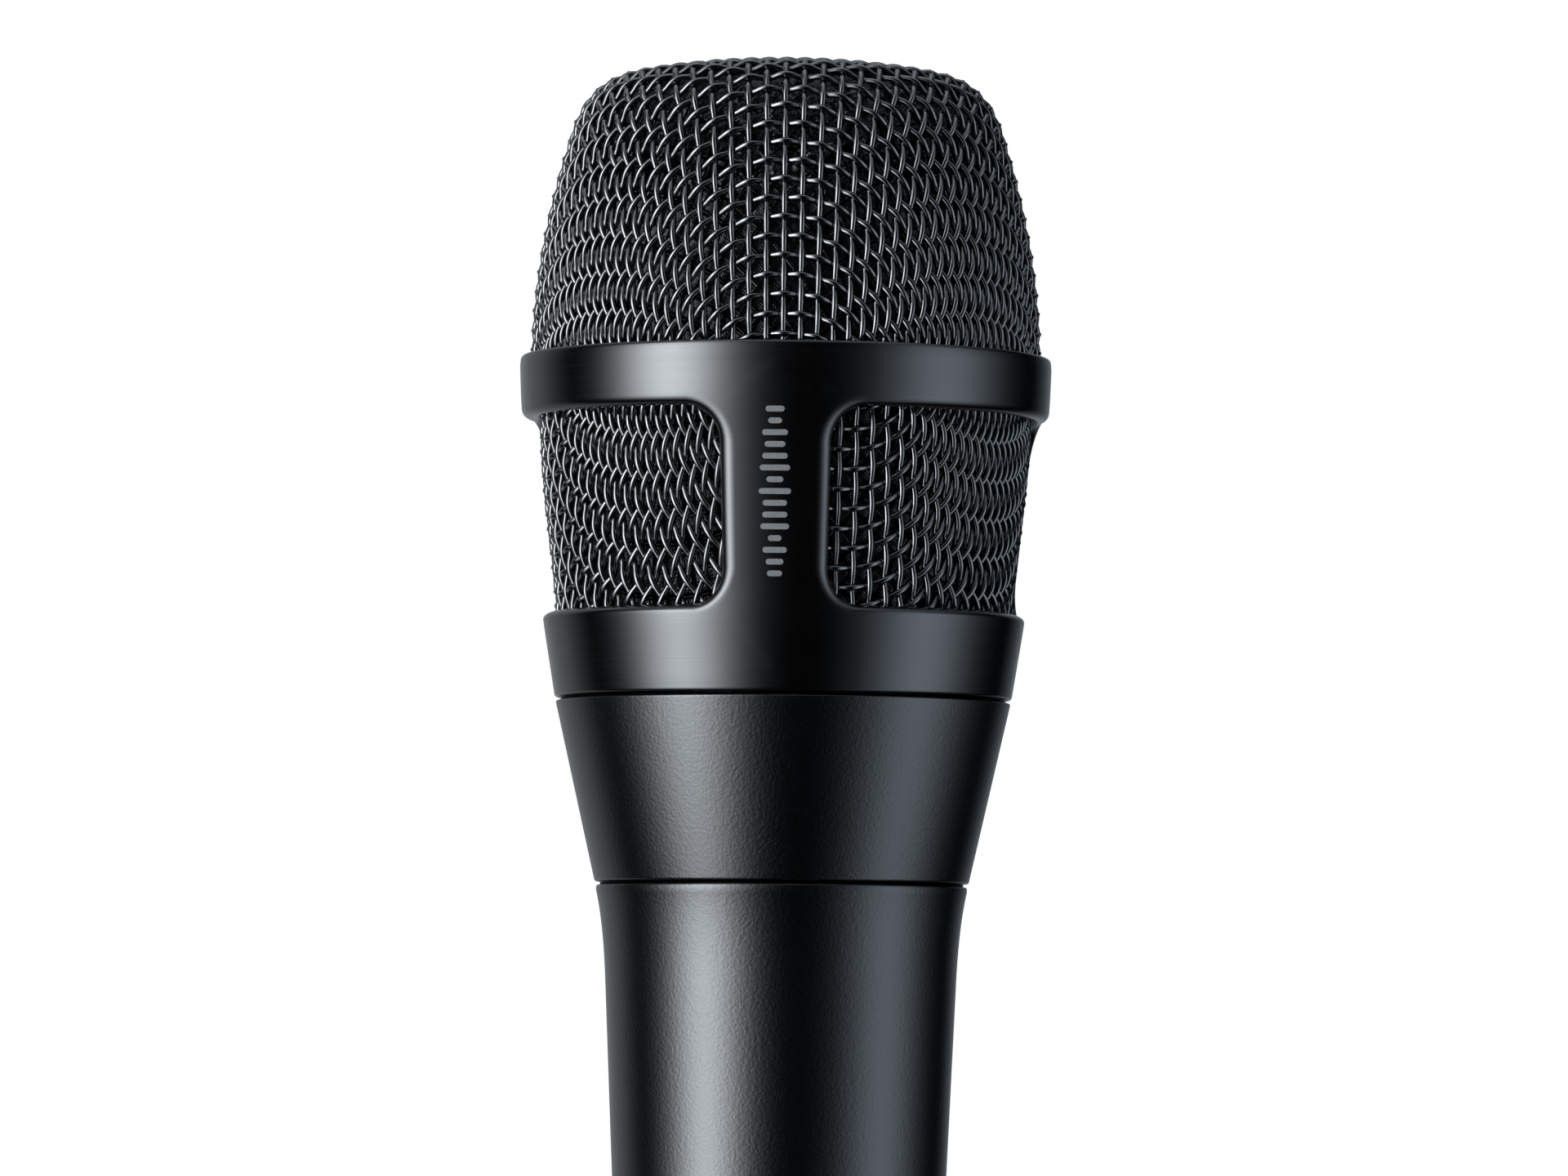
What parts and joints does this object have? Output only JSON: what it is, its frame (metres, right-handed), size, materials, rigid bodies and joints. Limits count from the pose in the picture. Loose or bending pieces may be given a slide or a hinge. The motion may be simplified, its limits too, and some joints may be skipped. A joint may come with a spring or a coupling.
{
  "type": "handheld dynamic microphone",
  "caption": "Handheld dynamic microphone: tapered handle with three-pin plug socket, screw-on neck, and a two-tier woven wire grille in a banded cage over a moving-coil cartridge.",
  "frame": {"origin": "centre of the socket rim at the foot of the handle", "axes": "+Z along the microphone's axis towards the crown of the grille; -Y towards the front strut of the grille cage"},
  "size_m": [0.051, 0.051, 0.187],
  "materials": {
    "satin_black": "satin",
    "cage_black": "satin",
    "black_nickel": "gloss",
    "dark_gauze": "satin",
    "open_foam": "matte",
    "steel": "satin",
    "brass": "satin",
    "contact_gold": "gloss",
    "nickel": "gloss",
    "winding_copper": "satin",
    "black_plastic": "satin",
    "grey_plastic": "satin",
    "clear_film": "gloss",
    "circuit_board": "satin",
    "black_rubber": "matte",
    "red_sleeve": "satin",
    "black_sleeve": "satin"
  },
  "bodies": {
    "handle": {"handle_shell": "satin_black", "xlr_insert": "black_plastic", "xlr_pin_1": "nickel", "xlr_pin_2": "nickel", "xlr_pin_3": "nickel", "insert_screw": "steel", "ground_spring": "brass", "output_board": "circuit_board", "transformer_core": "steel", "transformer_winding": "winding_copper", "transformer_cradle": "black_rubber", "lower_lead_hot": "red_sleeve", "lower_lead_cold": "black_sleeve", "upper_lead_hot": "red_sleeve", "upper_lead_cold": "black_sleeve", "contact_board": "circuit_board", "spring_contact_1": "contact_gold", "spring_contact_2": "contact_gold", "spring_contact_3": "contact_gold"},
    "neck_seal": {"neck_seal": "black_rubber"},
    "head": {"neck_shell": "satin_black", "head_board": "circuit_board", "lower_rubber_ring": "black_rubber", "upper_rubber_ring": "black_rubber", "mount_cap": "brass", "head_lead_hot": "red_sleeve", "head_lead_cold": "black_sleeve"},
    "cartridge": {"rear_tube": "grey_plastic", "terminal_board": "circuit_board", "cartridge_case": "black_plastic", "port_screen": "dark_gauze", "yoke": "steel", "magnet": "nickel", "pole_plate": "steel", "resonator_cap": "black_plastic", "cap_screen": "dark_gauze"},
    "diaphragm": {"diaphragm": "clear_film", "voice_coil": "winding_copper"},
    "grille_seal": {"grille_seal": "black_rubber"},
    "grille": {"grille_washer": "steel", "thread_ring": "brass", "grille_cage": "cage_black", "top_net": "black_nickel", "lower_net": "black_nickel", "top_liner": "dark_gauze", "lower_liner": "dark_gauze", "foam_cap": "open_foam"}
  },
  "joints": [
    {"name": "neck_rise", "type": "slide", "parent": "handle", "child": "neck_seal", "axis": [0, 0, 1], "range_m": [0, 0.00401]},
    {"name": "neck_turn", "type": "hinge", "parent": "neck_seal", "child": "head", "pos_m": [0, 0, 0.1], "axis": [0, 0, 1], "range_deg": [0, 1440]},
    {"name": "grille_rise", "type": "slide", "parent": "head", "child": "grille_seal", "axis": [0, 0, 1], "range_m": [0, 0.00401]},
    {"name": "grille_turn", "type": "hinge", "parent": "grille_seal", "child": "grille", "pos_m": [0, 0, 0.13], "axis": [0, 0, 1], "range_deg": [0, 1440]},
    {"name": "cartridge_float", "type": "slide", "parent": "head", "child": "cartridge", "axis": [0, 0, 1], "range_m": [-0.001, 0.001], "stiffness_N_per_m": 3000, "deforming": ["lower_rubber_ring", "upper_rubber_ring"]},
    {"name": "diaphragm_travel", "type": "slide", "parent": "cartridge", "child": "diaphragm", "axis": [0, 0, 1], "range_m": [-0.0003, 0.0003], "stiffness_N_per_m": 200}
  ],
  "couplings": [
    {"joint": "neck_rise", "follows": "neck_turn", "m_per_rad": 0.00015915},
    {"joint": "grille_rise", "follows": "grille_turn", "m_per_rad": 0.00015915}
  ]
}
